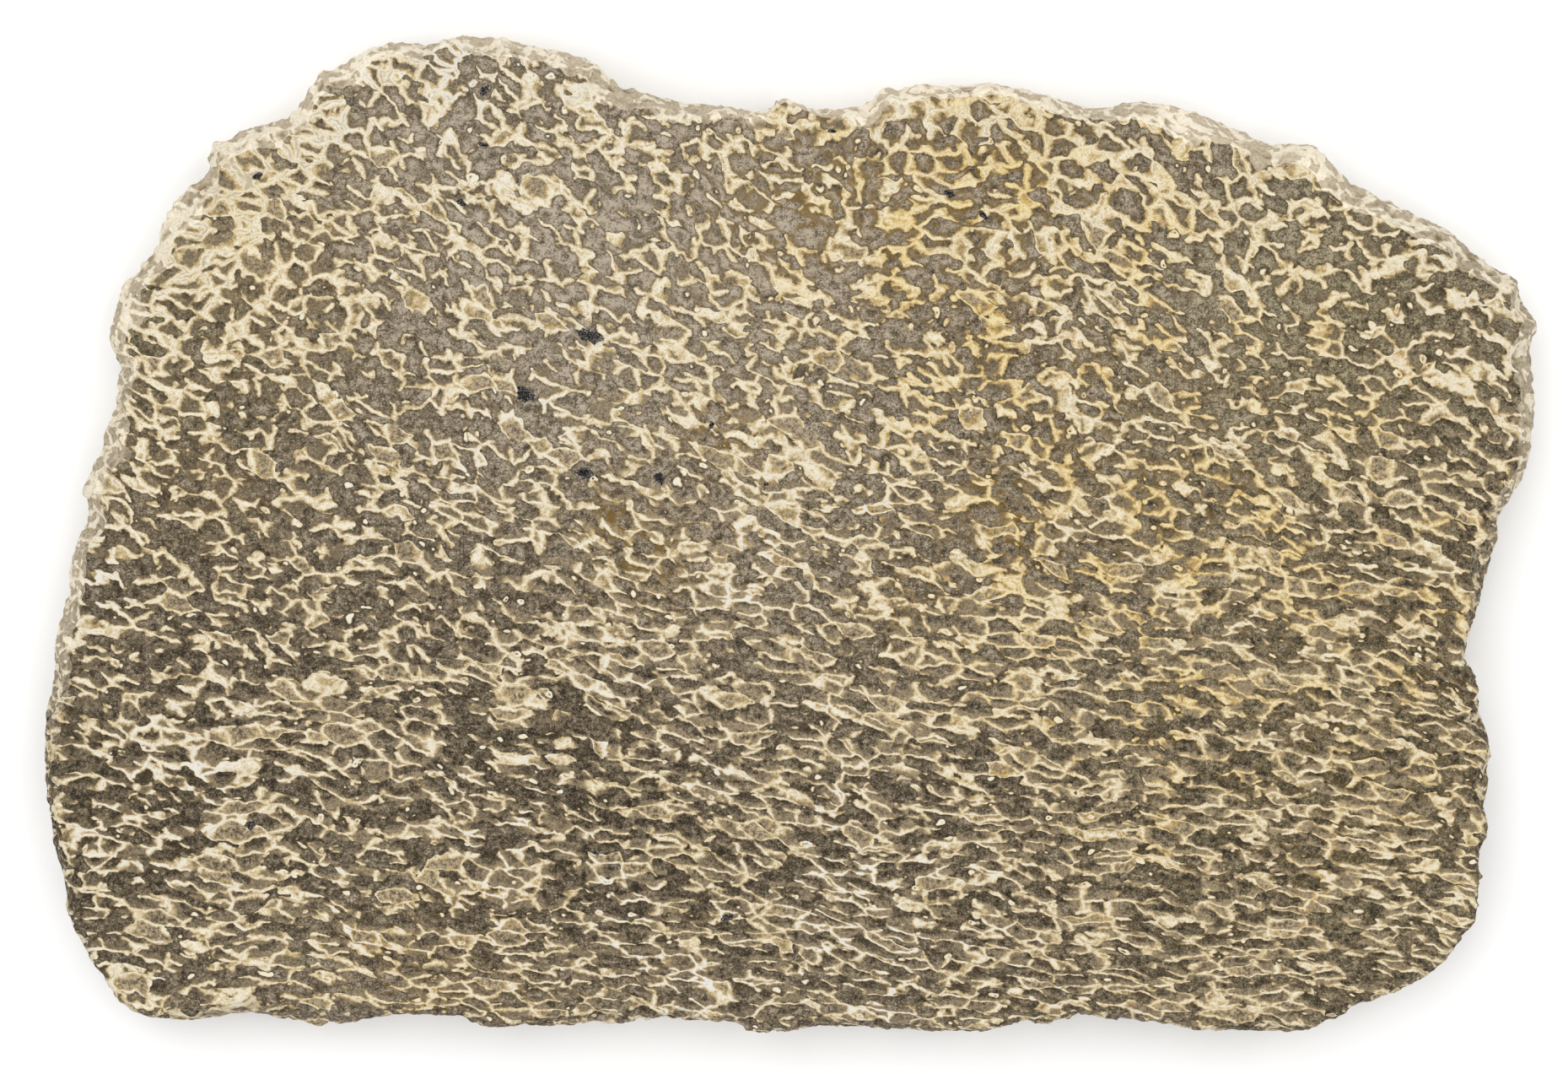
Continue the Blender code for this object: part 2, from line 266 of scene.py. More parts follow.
class FossilBone(bpy.types.PropertyGroup):
    """Sizes and colours of the spongy bone."""

    cell_length: bpy.props.FloatProperty(
        name="Cell length", description="Size of the cells along the struts, in mm", default=2.5)
    cell_height: bpy.props.FloatProperty(
        name="Cell height", description="Size of the cells across the struts, in mm", default=1.2)
    strut: bpy.props.FloatProperty(
        name="Strut", description="Half the thickness of a strut, in mm", default=0.14)
    strut_heart: colour("Strut heart", "The middle of a strut", 222, 214, 193)
    strut_body: colour("Strut body", "The body of a strut", 204, 190, 158)
    strut_edge: colour("Strut edge", "The warm edge of a strut", 180, 157, 113)
    strut_rim: colour("Strut rim", "The outermost edge of a strut", 136, 117, 76)
    chalk: colour("Chalk", "The whitest struts", 215, 212, 204)
    veiled: colour("Veiled bone", "Bone seen through the filling", 186, 168, 138)
    veiled_dark: colour("Veiled bone, dark", "The darker grains of veiled bone", 116, 98, 70)
    filling_dark: colour("Filling, dark", "The darkest of the filling", 38, 30, 17)
    filling: colour("Filling", "The filling's middle tone", 106, 94, 75)
    filling_rim: colour("Filling, rim", "The filling right beside the bone", 52, 39, 16)
    filling_light: colour("Filling, light", "The lightest of the filling", 172, 159, 140)
    gold: colour("Gold", "Tint of the yellower struts", 255, 243, 206)
    olive: colour("Olive", "Tint of the greener filling", 226, 230, 186)
    amber: colour("Amber", "Iron stain in the filling", 110, 85, 30)
    crystal: colour("Crystal", "Dark crystals in the vugs", 34, 29, 26)
    glint: colour("Glint", "Pale faces of the crystals", 150, 146, 140)
    # Pale crust colour: the weathered rim, and also painted light where it is laid on along the rim's +Y
    # side.
    crust_and_painted_top_light: colour("Crust", "The weathered rim", 245, 235, 214)
    crust_cell: colour("Crust cell", "Weathered filling on the rim", 210, 195, 168)
    crust_hollow: colour("Crust hollow", "Soil in the hollows of the rim", 146, 127, 98)


class FossilStage(bpy.types.PropertyGroup):
    """The studio."""

    lens: bpy.props.FloatProperty(name="Lens", description="Focal length in mm", default=70.0, min=10.0)
    frame_width: length("Frame width", "Width of the picture at the slab's widest line", 130.13 * MM)
    aim: bpy.props.FloatVectorProperty(
        name="Aim", description="The point that the camera looks at", unit="LENGTH",
        size=3, default=(-0.455 * MM, -0.49 * MM, 4.0 * MM))
    floor_colour: colour("Floor", "The floor's colour", 250, 250, 250)
    sky: bpy.props.FloatProperty(name="Sky", description="Strength of the even light", default=0.55)
    lamp: bpy.props.FloatProperty(
        name="Lamp", description="Power of each soft lamp", default=1.16, unit="POWER")


# ---------------------------------------------------------------- the slab's mesh

def soft_sum(spots, x, y):
    """The strength of all the soft spots at some places, in mm."""
    return sum(strength * np.exp(-((x - sx) ** 2 + (y - sy) ** 2) / radius ** 2)
               for sx, sy, radius, strength in spots)


def grown(x, y, z):
    """Growth coordinates of some places: along the struts, across them and up, in mm."""
    across = y + x * (STRUT_SLOPE + FAN * y)
    for bend_x, bend_y, radius, turn in BENDS:
        near = np.exp(-((x - bend_x) ** 2 + (y - bend_y) ** 2) / radius ** 2)
        across = across - turn * near * (x - bend_x)
    across = across - CROWDING * across ** 2
    return np.column_stack((x * (1 + STRETCH * y) - STRUT_SLOPE * y, across, z))


def rim_relief(place, shape):
    """Depth below the rim's skin at a place, and how hollow it is there from 0 to 1."""
    near, second = noise.voronoi(place / shape.cell_size)[0][:2]
    opening = min(1.0, max(0.0, (second - near - CELL_LIP) / CELL_SLOPE))
    patch = noise.noise(place / (PATCH_CELLS * shape.cell_size))
    opening *= min(1.0, max(0.0, PATCH_LEAST + PATCH_SWAY * patch))
    grain = noise.noise(place / shape.grain_size)
    grain += FINE_SHARE * noise.noise(place * FINE_GRAINS / shape.grain_size)
    depth = shape.cell_depth * opening + shape.grain_depth * (grain + GRAIN_SINK)
    hollow = HOLLOW_CELL * opening + HOLLOW_GRAIN * grain
    return max(-GRAIN_OUT, depth), min(1.0, max(0.0, hollow))


def open_rim(shape):
    """The slab's rim alone, in small faces, from a merged copy of its solid."""
    bm = bmesh.new()
    bm.from_mesh(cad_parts["bone_slab"].data)
    bmesh.ops.remove_doubles(bm, verts=bm.verts, dist=MERGE)
    for height in (LOW.z, HIGH.z):
        cut = [face for face in bm.faces if all(abs(v.co.z - height) < LEVEL for v in face.verts)]
        bmesh.ops.delete(bm, geom=cut, context="FACES")
    steep = math.radians(80)
    bmesh.ops.join_triangles(bm, faces=bm.faces[:], angle_face_threshold=steep,
                             angle_shape_threshold=steep)
    bmesh.ops.subdivide_edges(bm, edges=bm.edges[:], cuts=shape.rim_cuts, use_grid_fill=True)
    bm.normal_update()
    return bm


def roughen(bm, shape):
    """Breaks the rim's skin: open cells, grain and a ragged edge to each cut."""
    hollow = bm.verts.layers.float.new("hollow")
    moves = []
    for vert in bm.verts:
        depth, vert[hollow] = rim_relief(vert.co, shape)
        inward = -vert.normal
        edge = min(vert.co.z - LOW.z, HIGH.z - vert.co.z)
        if edge < LEVEL:
            inward.z = 0.0
        inward = inward.normalized() * depth
        inward.z *= min(1.0, edge / EDGE_ZONE)
        moves.append(inward)
    for vert, move in zip(bm.verts, moves):
        vert.co += move


def once(items):
    """Each item once, in the order in which it first comes."""
    return list(dict.fromkeys(items))


def ragged_ring(bm, middle, half_length, half_width, turn):
    """A small uneven ring of edges on a cut."""
    place = (Matrix.Translation(middle) @ Matrix.Rotation(math.radians(turn), 4, "Z")
             @ Matrix.Diagonal((half_length * MM, half_width * MM, 1.0, 1.0)))
    ring = bmesh.ops.create_circle(bm, segments=VUG_SIDES, radius=1.0, matrix=place)["verts"]
    for vert in ring:
        uneven = 1 + MOUTH_SWAY * noise.noise(vert.co / MOUTH_SIZE)
        vert.co = middle + (vert.co - middle) * uneven
    return once(edge for vert in ring for edge in vert.link_edges)


def sink_vug(bm, ring, middle, way_down):
    """Steps a ring of edges inwards and down into the stone, and closes it."""
    dark = bm.verts.layers.float["vug"]
    for share, sink in VUG_RINGS:
        new = bmesh.ops.extrude_edge_only(bm, edges=ring)["geom"]
        ring = [item for item in new if isinstance(item, bmesh.types.BMEdge)]
        for vert in once(vert for edge in ring for vert in edge.verts):
            way = vert.co - middle
            way.z = 0.0
            way *= share
            way *= 1 + WALL_SWAY * noise.noise((middle + way) / WALL_SIZE)
            vert.co = middle + way + way_down * sink
            vert[dark] = 1.0
    bmesh.ops.contextual_create(bm, geom=ring)


def close_cut(bm, height, up, vugs, shape):
    """Fills one saw cut flat, sinks its vugs, and gives the cut a grid of points."""
    edges = [edge for edge in bm.edges
             if edge.is_boundary and all(abs(v.co.z - height) < FLAT for v in edge.verts)]
    for edge in edges:
        edge.smooth = False
    rings = []
    for x, y, *size in vugs:
        middle = Vector((x * MM, y * MM, height))
        rings.append((ragged_ring(bm, middle, *size), middle, size[1]))
    filled = bmesh.ops.triangle_fill(bm, use_beauty=True, normal=(0, 0, up),
                                     edges=edges + [edge for ring, *_ in rings for edge in ring])
    geom = [item for item in filled["geom"] if isinstance(item, bmesh.types.BMFace)]
    area = sum(face.calc_area() for face in geom)
    if area < CUT_SHARE * (HIGH.x - LOW.x) * (HIGH.y - LOW.y):
        raise RuntimeError("the saw cut at %.4f m isn't filled" % height)
    for ring, middle, half_width in rings:
        way_down = Vector((0, 0, -up * shape.vug_depth * half_width * MM))
        sink_vug(bm, ring, middle, way_down)
    geom += once(edge for face in geom for edge in face.edges)
    geom += once(vert for item in geom for vert in item.verts)
    for axis in (0, 1):
        normal = [0.0, 0.0, 0.0]
        normal[axis] = 1.0
        lines = int((HIGH - LOW)[axis] / shape.cut_grid)
        for line in range(1, lines):
            place = [0.0, 0.0, height]
            place[axis] = LOW[axis] + (HIGH - LOW)[axis] * line / lines
            geom = bmesh.ops.bisect_plane(bm, geom=geom, dist=FLAT, plane_co=place,
                                          plane_no=normal)["geom"]


def sort_faces(bm):
    """Puts the faces in the order of their first edges, which is the same on every run."""
    bm.verts.index_update()
    count = len(bm.verts)
    bm.faces.sort(key=lambda face: face.verts[0].index * count + face.verts[1].index)
    bm.faces.index_update()


def lay_out_map(bm):
    """Gives the upper cut the largest share of the piece's own map, then the base and the rim."""
    uv = bm.loops.layers.uv.new("OFBake")
    width, thickness = (HIGH.y - LOW.y) / MM, (HIGH.z - LOW.z) / MM
    strip = 2 * math.pi / RIM_STRIPS
    for face in bm.faces:
        middle = face.calc_center_median()
        kind = face.material_index
        if kind == 1:
            turn = math.atan2(middle.y, middle.x) % (2 * math.pi)
            row = int(turn / strip)
        for loop in face.loops:
            x, y, z = ((a - b) / MM for a, b in zip(loop.vert.co, LOW))
            if kind == 0 and middle.z > (LOW.z + HIGH.z) / 2:
                left, bottom, scale = TOP_PATCH
                loop[uv].uv = (left + x * scale, bottom + y * scale)
            elif kind == 0:
                left, bottom, scale = BASE_PATCH
                loop[uv].uv = (left + x * scale, bottom + (width - y) * scale)
            else:
                left, bottom, strip_width = RIM_PATCH
                here = math.atan2(loop.vert.co.y, loop.vert.co.x) % (2 * math.pi)
                part = here / strip - row
                part -= round((part - 0.5) / RIM_STRIPS) * RIM_STRIPS
                rise = row * RIM_STRIP_PITCH + z / thickness * RIM_STRIP_HEIGHT
                loop[uv].uv = (left + part * strip_width, bottom + rise)


def paint(mesh):
    """Stores the growth coordinates and the soft regions of the slice on the mesh's points."""
    places = np.zeros(3 * len(mesh.vertices))
    mesh.vertices.foreach_get("co", places)
    places = places.reshape(-1, 3) / MM
    x, y, z = places.T
    points = [Vector(place) for place in places]
    for name, spots in SOFT_LAYERS.items():
        values = soft_sum(spots, x, y)
        if name == "fill":
            values += [FILL_SWAY * noise.noise(point / FILL_SIZE) for point in points]
        if name in ("chalk", "gold"):
            values *= [max(0.0, TINT_LEAST + TINT_SWAY * noise.noise(point / TINT_SIZE))
                       for point in points]
        mesh.attributes.new(name, "FLOAT", "POINT").data.foreach_set("value", values)
    sway = [[noise.noise(point / SWAY_SIZE + there) for there in SWAY_PLACES] for point in points]
    where = grown(x, y, z) + SWAY * np.array(sway)
    mesh.attributes.new("grown", "FLOAT_VECTOR", "POINT").data.foreach_set("vector", where.ravel())


def slab_mesh(shape):
    bm = open_rim(shape)
    roughen(bm, shape)
    bm.verts.layers.float.new("vug")
    rim = set(bm.faces)
    close_cut(bm, HIGH.z, 1, VUGS, shape)
    close_cut(bm, LOW.z, -1, BASE_VUGS, shape)
    for face in bm.faces:
        face.smooth = face in rim
        face.material_index = 1 if face in rim else 0
    bmesh.ops.recalc_face_normals(bm, faces=bm.faces)
    sort_faces(bm)
    lay_out_map(bm)
    mesh = bpy.data.meshes.new("fossil_slab")
    bm.to_mesh(mesh)
    bm.free()
    paint(mesh)
    return mesh


# ---------------------------------------------------------------- materials

class Nodes:
    """Short calls for one node tree: each adds a node and gives back an output of it."""

    def __init__(self, tree):
        self.tree = tree

    def add(self, kind, **settings):
        node = self.tree.nodes.new(kind)
        for name, value in settings.items():
            setattr(node, name, value)
        return node

    def feed(self, socket, value):
        if isinstance(value, bpy.types.NodeSocket):
            self.tree.links.new(value, socket)
        elif value is not None:
            socket.default_value = value

    def call(self, kind, values, output=0, **settings):
        node = self.add(kind, **settings)
        for key, value in values.items():
            self.feed(node.inputs[key], value)
        return node.outputs[output]

    def math(self, operation, *values, clamp=False):
        return self.call("ShaderNodeMath", dict(enumerate(values)), operation=operation, use_clamp=clamp)

    def vector(self, operation, *values, output=0):
        if operation == "SCALE":
            values = (values[0], None, None, values[1])
        return self.call("ShaderNodeVectorMath", dict(enumerate(values)), output, operation=operation)

    def noise(self, place, scale, detail=0.0, roughness=0.5, output="Fac"):
        return self.call("ShaderNodeTexNoise", {"Vector": place, "Scale": scale, "Detail": detail,
                         "Roughness": roughness}, output)

    def grain(self, place, kind):
        """One of the stone's grains, from its scale, detail, roughness and place."""
        scale, detail, roughness, shift = kind
        return self.noise(self.vector("ADD", place, shift), scale, detail, roughness)

    def fade(self, value, low, high, start=0.0, end=1.0, soft=True):
        return self.call("ShaderNodeMapRange", {0: value, 1: low, 2: high, 3: start, 4: end},
                         interpolation_type="SMOOTHSTEP" if soft else "LINEAR")

    def blend(self, share, first, second, mode="MIX"):
        return self.call("ShaderNodeMix", {0: share, 6: first, 7: second}, 2, data_type="RGBA",
                         blend_type=mode)

    def ramp(self, value, stops):
        node = self.add("ShaderNodeValToRGB")
        ends = node.color_ramp.elements
        ends.remove(ends[0])
        for count, (place, colour) in enumerate(stops):
            stop = ends[0] if count == 0 else ends.new(place)
            stop.position, stop.color = place, colour
        self.feed(node.inputs[0], value)
        return node.outputs[0]

    def attribute(self, name, output="Fac"):
        return self.call("ShaderNodeAttribute", {}, output, attribute_name=name)

    def group(self, tree, values):
        node = self.add("ShaderNodeGroup", node_tree=tree)
        for label, value in values.items():
            self.feed(node.inputs[label], value)
        return node.outputs


def group(name, inputs, outputs, build):
    """A node group with named sockets.  build takes its Nodes and inputs and returns its outputs."""
    tree = bpy.data.node_groups.new(name, "ShaderNodeTree")
    for label, (kind, default) in inputs.items():
        socket = tree.interface.new_socket(label, in_out="INPUT", socket_type="NodeSocket" + kind)
        if default is not None:
            socket.default_value = default
    for label, kind in outputs.items():
        tree.interface.new_socket(label, in_out="OUTPUT", socket_type="NodeSocket" + kind)
    n = Nodes(tree)
    start, end = n.add("NodeGroupInput"), n.add("NodeGroupOutput")
    for label, value in build(n, start.outputs).items():
        n.feed(end.inputs[label], value)
    return tree


def wandering(n, given):
    """Growth coordinates disturbed twice, so that no strut runs straight."""
    grown_place, place = given["Grown"], given["Point"]
    for size, (along, across), shift in WANDERS:
        push = n.vector("ADD", place, (shift, 2 * shift, shift))
        push = n.vector("SUBTRACT", n.noise(push, 1 / size, output="Color"), (0.5, 0.5, 0.5))
        grown_place = n.vector("MULTIPLY_ADD", push, (along, across, across), grown_place)
    return {"Grown": grown_place}


def plate_walls(n, given):
    """Distance in mm to the nearest plate's middle, and a number from 0 to 1 for each cell."""
    size = n.call("ShaderNodeCombineXYZ", {
        "X": given["Cell length"], "Y": given["Cell height"], "Z": CELL_RISE})
    place = n.vector("DIVIDE", given["Grown"], size)
    walls = n.call("ShaderNodeTexVoronoi", {"Vector": place, "Scale": 1.0}, "Distance",
                   feature="DISTANCE_TO_EDGE")
    cell = n.call("ShaderNodeTexVoronoi", {"Vector": place, "Scale": 1.0}, "Color", feature="F1")
    cell = n.call("ShaderNodeSeparateXYZ", {0: cell})
    return {"Distance": n.math("MULTIPLY", walls, given["Cell height"]), "Cell": cell}


def blunt(n, value, start, span, most, slope):
    """Half a strut's thickness: it grows quickly past start, so that free ends are round."""
    over = n.math("DIVIDE", n.math("SUBTRACT", value, start), span, clamp=True)
    rise = n.math("MULTIPLY", n.math("SQRT", over), most)
    short = n.math("MAXIMUM", n.math("SUBTRACT", start, value), 0.0)
    return n.math("MULTIPLY_ADD", short, -slope, rise)


def spongy_bone(n, given):
    """Depth inside bone in mm, negative in the filling: pierced plates, dots and little rings."""
    place, strut = given["Grown"], n.math("ADD", given["Strut"], given["Thick"])
    opened = n.vector("DIVIDE", n.vector("ADD", place, OPENING_SHIFT), OPENING_SIZE)
    opened = n.math("ADD", n.noise(opened, 1.0, 1.0), given["Fill"])
    veil = n.fade(given["Cell"], VEILED_CELLS, VEILED_CELLS + VEIL_SPAN)
    opened = n.math("MULTIPLY_ADD", veil, CELL_FILL, opened)
    width = blunt(n, opened, OPENING, OPENING_SPAN, strut, TIP_FALL)
    width = n.math("ADD", width, n.fade(opened, *CLOSED, 0.0, CLOSED_MORE, soft=False))
    plates = n.math("SUBTRACT", width, given["Walls"])
    dots = n.add("ShaderNodeTexVoronoi")
    dot_place = n.vector("DIVIDE", n.vector("ADD", place, DOT_SHIFT), DOT_CELL)
    n.feed(dots.inputs["Vector"], dot_place)
    n.feed(dots.inputs["Scale"], 1.0)
    size = n.call("ShaderNodeSeparateXYZ", {0: dots.outputs["Color"]})
    size = n.math("MULTIPLY_ADD", size, DOT_SPREAD, DOT_LEAST)
    ring = n.math("ABSOLUTE", n.math("SUBTRACT", dots.outputs["Distance"], size))
    ring = n.math("SUBTRACT", DOT_WALL, ring)
    return {"Depth": n.math("SMOOTH_MAX", plates, ring, JOIN),
            "Depth below": n.math("SUBTRACT", width, given["Walls below"]),
            "Veil": veil}


def filling_colour(n, given, finish):
    """Mottled translucent stone, browner beside the bone, stained amber in places."""
    tone = n.math("MULTIPLY_ADD", n.math("SUBTRACT", given["Mottle"], 0.5), MOTTLE_CONTRAST, 0.5)
    for name, move in TONE_MOVES.items():
        tone = n.math("MULTIPLY_ADD", given[name], move, tone)
    stone = n.ramp(tone, (
        (0.0, finish.filling_dark), (0.5, finish.filling), (1.0, finish.filling_light)))
    greener = n.math("MULTIPLY", given["Olive"], OLIVE_SHARE)
    stone = n.blend(greener, stone, tuple(finish.olive), "MULTIPLY")
    stone = n.blend(n.fade(given["Grain"], *DARK_SPECKS), stone, tuple(finish.filling_dark))
    beside = n.math("MULTIPLY", n.fade(given["Depth"], *BESIDE_BONE),
                    n.fade(given["Grain"], *BESIDE_GRAIN))
    stone = n.blend(beside, stone, tuple(finish.filling_rim))
    stained = n.math("MULTIPLY", given["Amber"], n.fade(given["Mottle"], *STAIN_MOTTLE))
    stained = n.math("MULTIPLY", stained, n.fade(given["Depth"], *STAIN_DEPTH))
    return {"Color": n.blend(stained, stone, tuple(finish.amber))}


def slice_colour(n, given, finish):
    """The colour of the sawn slice, from the depth at the surface and a little below it."""
    coarse, grain = given["Coarse grain"], given["Grain"]
    depth, below = given["Depth"], given["Depth below"]
    veil = n.math("MULTIPLY_ADD", grain, VEIL_GRAIN, n.math("MULTIPLY_ADD", coarse, VEIL_COARSE, 0.5))
    lift = n.math("MULTIPLY_ADD", n.math("ABSOLUTE", depth), LIFT_FALL, LIFT)
    veil = n.math("ADD", veil, n.math("MAXIMUM", lift, 0.0))
    veil = n.blend(veil, tuple(finish.veiled_dark), tuple(finish.veiled))
    seen = n.math("MULTIPLY_ADD", given["Clear"], SEEN_CLEAR, SEEN_LEAST)
    seen = n.math("MULTIPLY", n.fade(below, *SEEN_DEPTH), seen)
    veiled = n.math("MULTIPLY", given["Veil"], n.fade(coarse, *VEILED_COARSE))
    veiled = n.math("MULTIPLY", veiled, n.fade(depth, *VEILED_DEPTH))
    inside = n.math("MAXIMUM", seen, veiled)
    under = n.blend(inside, given["Filling"], veil)
    tilt = n.math("SUBTRACT", depth, below)
    line = n.math("MULTIPLY_ADD", depth, LINE_DEPTH, LINE_START)
    line = n.math("MULTIPLY_ADD", coarse, LINE_COARSE, line)
    line = n.math("MULTIPLY_ADD", tilt, LINE_TILT, line)
    line = n.math("MULTIPLY_ADD", grain, LINE_GRAIN, line)
    line = n.ramp(line, zip(LINE_STOPS, (
        finish.strut_rim, finish.strut_edge, finish.strut_body, finish.strut_heart)))
    line = n.blend(given["Gold"], line, tuple(finish.gold), "MULTIPLY")
    speck = n.math("MULTIPLY", n.fade(coarse, *SPECK_COARSE), n.fade(depth, *SPECK_DEPTH))
    line = n.blend(speck, line, tuple(finish.strut_rim))
    white = n.math("MULTIPLY", given["Chalk"], n.fade(depth, *CHALK_DEPTH))
    bone = n.blend(white, line, tuple(finish.chalk))
    bone = n.blend(n.fade(depth, *CORE_DEPTH), bone, veil)
    edge = n.fade(n.math("MULTIPLY_ADD", given["Veil"], EDGE_VEIL, depth), *EDGE_DEPTH)
    return {"Color": n.blend(edge, under, bone), "Bone": edge}


def bone_groups(finish):
    """The shared effects, built once."""
    def sockets(*names, **others):
        return {**{name: ("Float", 0.0) for name in names}, **others}

    vector, tint = ("Vector", None), ("Color", (0.5, 0.5, 0.5, 1.0))
    return {
        "wander": group("Wandering growth", {"Grown": vector, "Point": vector}, {"Grown": "Vector"},
                        wandering),
        "walls": group("Plate walls", {"Grown": vector, **sockets("Cell length", "Cell height")},
                       {"Distance": "Float", "Cell": "Float"}, plate_walls),
        "bone": group("Spongy bone", {"Grown": vector, **sockets(
            "Walls", "Walls below", "Cell", "Fill", "Strut", "Thick")},
            {"Depth": "Float", "Depth below": "Float", "Veil": "Float"}, spongy_bone),
        "filling": group("Cell filling", sockets(
            "Depth", "Grain", "Coarse grain", "Mottle", "Umber", "Haze", "Olive", "Amber"),
            {"Color": "Color"}, lambda n, given: filling_colour(n, given, finish)),
        "slice": group("Sawn slice", {**sockets(
            "Depth", "Depth below", "Veil", "Clear", "Grain", "Coarse grain", "Gold", "Chalk"),
            "Filling": tint},
            {"Color": "Color", "Bone": "Float"}, lambda n, given: slice_colour(n, given, finish)),
    }


def sawn_pattern(n, shared, finish):
    """Places the shared groups in a material and gives the slice's colour and its grains."""
    place = n.vector("SCALE", n.add("ShaderNodeTexCoord").outputs["Object"], 1 / MM)
    grown_place = n.attribute("grown", "Vector")
    where = n.group(shared["wander"], {"Grown": grown_place, "Point": place})["Grown"]
    coarse = n.math("SUBTRACT", n.grain(place, COARSE_GRAIN), 0.5)
    grain = n.math("SUBTRACT", n.grain(place, FINE_GRAIN), 0.5)
    mottle = n.grain(place, MOTTLE)
    cell = {"Cell length": finish.cell_length, "Cell height": finish.cell_height}
    walls = n.group(shared["walls"], {"Grown": where, **cell})
    walls_below = n.group(shared["walls"], {"Grown": n.vector("ADD", where, BELOW), **cell})["Distance"]
    bone = n.group(shared["bone"], {
        "Grown": where, "Walls": walls["Distance"], "Cell": walls["Cell"],
        "Walls below": walls_below, "Strut": finish.strut,
        "Fill": n.attribute("fill"), "Thick": n.attribute("thick")})
    ragged = n.math("MULTIPLY_ADD", mottle, RAGGED_MOTTLE, -0.5 * RAGGED_MOTTLE)
    ragged = n.math("MULTIPLY_ADD", coarse, RAGGED_COARSE, ragged)
    depth = n.math("ADD", bone["Depth"], ragged)
    below = n.math("MULTIPLY_ADD", coarse, RAGGED_BELOW, bone["Depth below"])
    filling = n.group(shared["filling"], {
        "Depth": depth, "Grain": grain, "Coarse grain": coarse, "Mottle": mottle,
        "Umber": n.attribute("umber"), "Haze": n.attribute("haze"),
        "Olive": n.attribute("olive"), "Amber": n.attribute("amber")})
    sliced = n.group(shared["slice"], {
        "Depth": depth, "Depth below": below, "Veil": bone["Veil"], "Clear": n.attribute("veil"),
        "Grain": grain, "Coarse grain": coarse, "Gold": n.attribute("gold"),
        "Chalk": n.attribute("chalk"), "Filling": filling["Color"]})
    return sliced, coarse, grain


def new_material(name):
    material = bpy.data.materials.new(name)
    material.use_nodes = True
    return material, Nodes(material.node_tree), material.node_tree.nodes["Principled BSDF"]


def finish_surface(n, surface, gloss, height, strength, depth):
    """Sets a surface's gloss and its fine bumps, whose depth is in metres."""
    surface.inputs["Specular IOR Level"].default_value = gloss
    bump = n.add("ShaderNodeBump")
    bump.inputs["Strength"].default_value = strength
    bump.inputs["Distance"].default_value = depth
    n.feed(bump.inputs["Height"], height)
    n.feed(surface.inputs["Normal"], bump.outputs["Normal"])


def cut_material(shared, finish):
    """The sawn and polished faces, with dark crystals in the vugs."""
    material, n, surface = new_material("sawn_bone")
    sliced, _, grain = sawn_pattern(n, shared, finish)
    vug = n.attribute("vug")
    inside = n.fade(n.math("MULTIPLY_ADD", grain, CRYSTAL_GRAIN, vug), *CRYSTAL_EDGE)
    crystal = n.blend(n.fade(grain, *GLINT_GRAIN), tuple(finish.crystal), tuple(finish.glint))
    n.feed(surface.inputs["Base Color"], n.blend(inside, sliced["Color"], crystal))
    rough = n.math("MULTIPLY_ADD", grain, CUT_ROUGH_GRAIN, CUT_ROUGH)
    n.feed(surface.inputs["Roughness"], n.math("MULTIPLY_ADD", sliced["Bone"], BONE_ROUGH, rough))
    finish_surface(n, surface, CUT_GLOSS, grain, CUT_BUMP, CUT_BUMP_DEPTH)
    return material


def rim_material(shared, finish):
    """The broken outside: the same bone under a dull, pale crust with soil in its hollows; the crust
    laid on thickest along the rim's +Y side is partly painted light.
    """
    material, n, surface = new_material("weathered_bone")
    sliced, coarse, grain = sawn_pattern(n, shared, finish)
    hollow = n.attribute("hollow")
    crust_and_painted_top_light = n.blend(sliced["Bone"], tuple(finish.crust_cell), tuple(finish.crust_and_painted_top_light))
    soil = n.fade(n.math("MULTIPLY_ADD", coarse, SOIL_COARSE, hollow), *SOIL_HOLLOW)
    crust_and_painted_top_light = n.blend(soil, crust_and_painted_top_light, tuple(finish.crust_hollow))
    # The crust's share: real crust in places, and painted light thickest along the rim's +Y side.
    crust_and_top_light_share = n.math("MULTIPLY_ADD", coarse, CRUST_COARSE, n.attribute("crust_and_painted_top_light"), clamp=True)
    n.feed(surface.inputs["Base Color"], n.blend(crust_and_top_light_share, sliced["Color"], crust_and_painted_top_light))
    n.feed(surface.inputs["Roughness"], n.math("MULTIPLY_ADD", grain, RIM_ROUGH_GRAIN, RIM_ROUGH))
    height = n.math("MULTIPLY_ADD", coarse, RIM_BUMP_COARSE, grain)
    finish_surface(n, surface, RIM_GLOSS, height, RIM_BUMP, RIM_BUMP_DEPTH)
    return material


# ---------------------------------------------------------------- operators

class FOSSIL_OT_slab(bpy.types.Operator):
    """Makes the slab: two flat saw cuts with open vugs, and a broken rim"""

    bl_idname = "fossil.slab"
    bl_label = "Slab"

    def execute(self, context):
        finish = context.scene.fossil_bone
        mesh = slab_mesh(context.scene.fossil_shape)
        shared = bone_groups(finish)
        mesh.materials.append(cut_material(shared, finish))
        mesh.materials.append(rim_material(shared, finish))
        slab = bpy.data.objects.new("fossil_slab", mesh)
        context.scene.collection.objects.link(slab)
        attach(slab, "root")
        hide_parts("bone_slab")
        return {"FINISHED"}


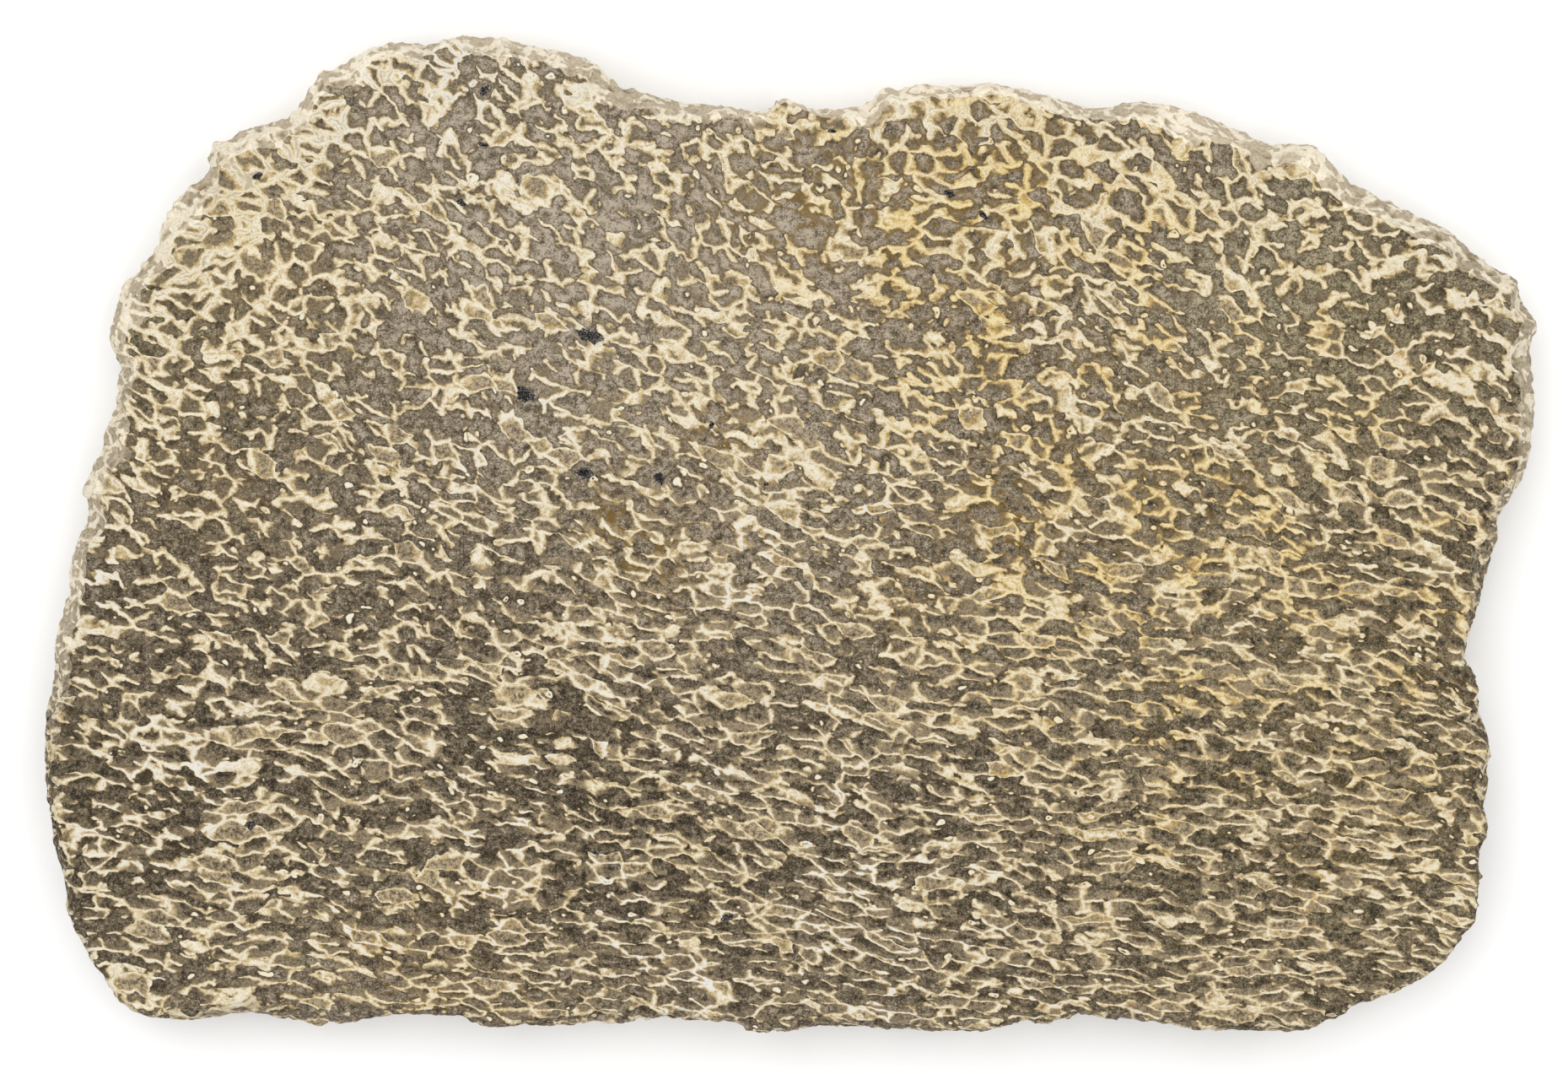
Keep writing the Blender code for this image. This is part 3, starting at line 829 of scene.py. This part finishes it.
class FOSSIL_OT_stage(bpy.types.Operator):
    """Sets up the pale floor, the soft light and the camera straight above the slab"""

    bl_idname = "fossil.stage"
    bl_label = "Stage"

    def execute(self, context):
        scene, stage = context.scene, context.scene.fossil_stage
        bm = bmesh.new()
        bmesh.ops.create_grid(bm, x_segments=1, y_segments=1, size=FLOOR_SIZE,
                              matrix=Matrix.Translation((0, 0, LOW.z - FLOOR_GAP)))
        mesh = bpy.data.meshes.new("floor")
        bm.to_mesh(mesh)
        bm.free()
        material, n, surface = new_material("floor")
        n.feed(surface.inputs["Base Color"], tuple(stage.floor_colour))
        surface.inputs["Roughness"].default_value = FLOOR_ROUGH
        surface.inputs["Specular IOR Level"].default_value = 0.0
        mesh.materials.append(material)
        floor = bpy.data.objects.new("floor", mesh)
        scene.collection.objects.link(floor)

        world = bpy.data.worlds.new("studio")
        world.use_nodes = True
        world.node_tree.nodes["Background"].inputs["Color"].default_value = (1, 1, 1, 1)
        world.node_tree.nodes["Background"].inputs["Strength"].default_value = stage.sky
        scene.world = world
        scene.view_settings.view_transform = "Standard"

        aim = Vector(stage.aim)
        for name, turn, rise, share in LAMPS:
            lamp = bpy.data.lights.new(name, "AREA")
            lamp.shape, lamp.size = "DISK", LAMP_SIZE
            lamp.energy = stage.lamp * share
            there = bpy.data.objects.new(name, lamp)
            turn, rise = math.radians(turn), math.radians(rise)
            level = math.cos(rise)
            way = Vector((math.cos(turn) * level, math.sin(turn) * level, math.sin(rise)))
            there.location = aim + LAMP_REACH * way
            there.rotation_euler = (aim - there.location).to_track_quat("-Z", "Y").to_euler()
            scene.collection.objects.link(there)

        camera = bpy.data.cameras.new("camera")
        camera.lens = stage.lens
        there = bpy.data.objects.new("camera", camera)
        there.location = aim + Vector((0, 0, stage.frame_width * stage.lens / camera.sensor_width))
        camera.clip_start = NEAREST
        scene.collection.objects.link(there)
        scene.camera = there
        return {"FINISHED"}


class FOSSIL_PT_panel(bpy.types.Panel):
    """Lists the slab, its finish and the stage"""

    bl_idname = "FOSSIL_PT_panel"
    bl_label = "Fossil Bone Slab"
    bl_space_type = "VIEW_3D"
    bl_region_type = "UI"
    bl_category = "Fossil"

    def draw(self, context):
        for operator, settings in ((FOSSIL_OT_slab, ("fossil_shape", "fossil_bone")),
                                   (FOSSIL_OT_stage, ("fossil_stage",))):
            box = self.layout.box()
            box.operator(operator.bl_idname)
            for name in settings:
                values = getattr(context.scene, name)
                for key in values.__annotations__:
                    box.prop(values, key)


CLASSES = (FossilShape, FossilBone, FossilStage, FOSSIL_OT_slab, FOSSIL_OT_stage, FOSSIL_PT_panel)
SETTINGS = {"fossil_shape": FossilShape, "fossil_bone": FossilBone, "fossil_stage": FossilStage}


def register():
    for cls in CLASSES:
        bpy.utils.register_class(cls)
    for name, cls in SETTINGS.items():
        setattr(bpy.types.Scene, name, bpy.props.PointerProperty(type=cls))


def unregister():
    for name in SETTINGS:
        delattr(bpy.types.Scene, name)
    for cls in reversed(CLASSES):
        bpy.utils.unregister_class(cls)


def main():
    register()
    bpy.ops.fossil.slab()
    bpy.ops.fossil.stage()


if __name__ == "__main__":
    main()
